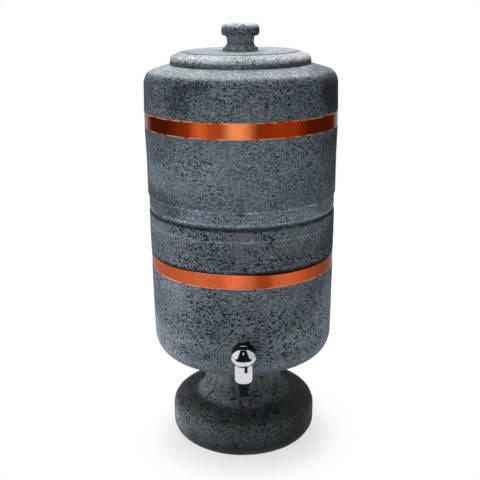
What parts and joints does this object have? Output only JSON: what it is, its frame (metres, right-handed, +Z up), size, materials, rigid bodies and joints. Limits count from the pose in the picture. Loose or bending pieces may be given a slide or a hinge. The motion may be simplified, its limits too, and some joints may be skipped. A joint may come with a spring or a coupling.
{
  "type": "stone water filter",
  "caption": "Turned stone water filter: two stacked vessels on a waisted foot, lid with a knob, copper bands, ceramic candle inside and a small chrome quarter-turn tap.",
  "frame": {"origin": "centre of the foot's flat underside, on the axis that all the stone pieces are turned about", "axes": "+Z up along the turning axis, -Y towards the tap, +X to the right as one faces the tap"},
  "size_m": [0.2198, 0.2665, 0.4964],
  "materials": {
    "foot_soapstone": "satin",
    "soapstone": "satin",
    "lid_soapstone": "matte",
    "copper": "satin",
    "rivet_copper": "satin",
    "chrome": "polished",
    "black_plastic": "gloss",
    "white_plastic": "satin",
    "black_rubber": "matte",
    "filter_ceramic": "matte",
    "carbon_block": "matte"
  },
  "bodies": {
    "stand": {"pedestal": "foot_soapstone", "lower_vessel": "soapstone", "lower_copper_band": "copper", "lower_band_left_rivet": "rivet_copper", "lower_band_right_rivet": "rivet_copper", "tap_body": "black_plastic", "tap_chrome_sleeve": "chrome", "tap_outer_washer": "black_rubber", "tap_inner_washer": "black_rubber", "tap_back_nut": "black_plastic"},
    "upper_chamber": {"upper_vessel": "soapstone", "upper_copper_band": "copper", "upper_band_left_rivet": "rivet_copper", "upper_band_right_rivet": "rivet_copper", "candle_shell": "filter_ceramic", "candle_carbon_core": "carbon_block", "candle_cup_and_stem": "white_plastic", "candle_upper_washer": "black_rubber", "candle_lower_washer": "black_rubber", "candle_wing_nut": "white_plastic"},
    "cover": {"lid": "lid_soapstone", "lid_knob": "lid_soapstone"},
    "tap_valve": {"tap_knob": "chrome", "tap_valve_spindle": "black_plastic", "tap_upper_seal": "black_rubber", "tap_lower_seal": "black_rubber"}
  },
  "joints": [
    {"name": "upper_vessel_lift", "type": "slide", "parent": "stand", "child": "upper_chamber", "axis": [0, 0, 1], "range_m": [0, 0.12]},
    {"name": "lid_lift", "type": "slide", "parent": "upper_chamber", "child": "cover", "axis": [0, 0, 1], "range_m": [0, 0.1]},
    {"name": "tap_turn", "type": "hinge", "parent": "stand", "child": "tap_valve", "pos_m": [0, -0.141, 0.146], "axis": [0, 0, 1], "range_deg": [0, 90]}
  ]
}
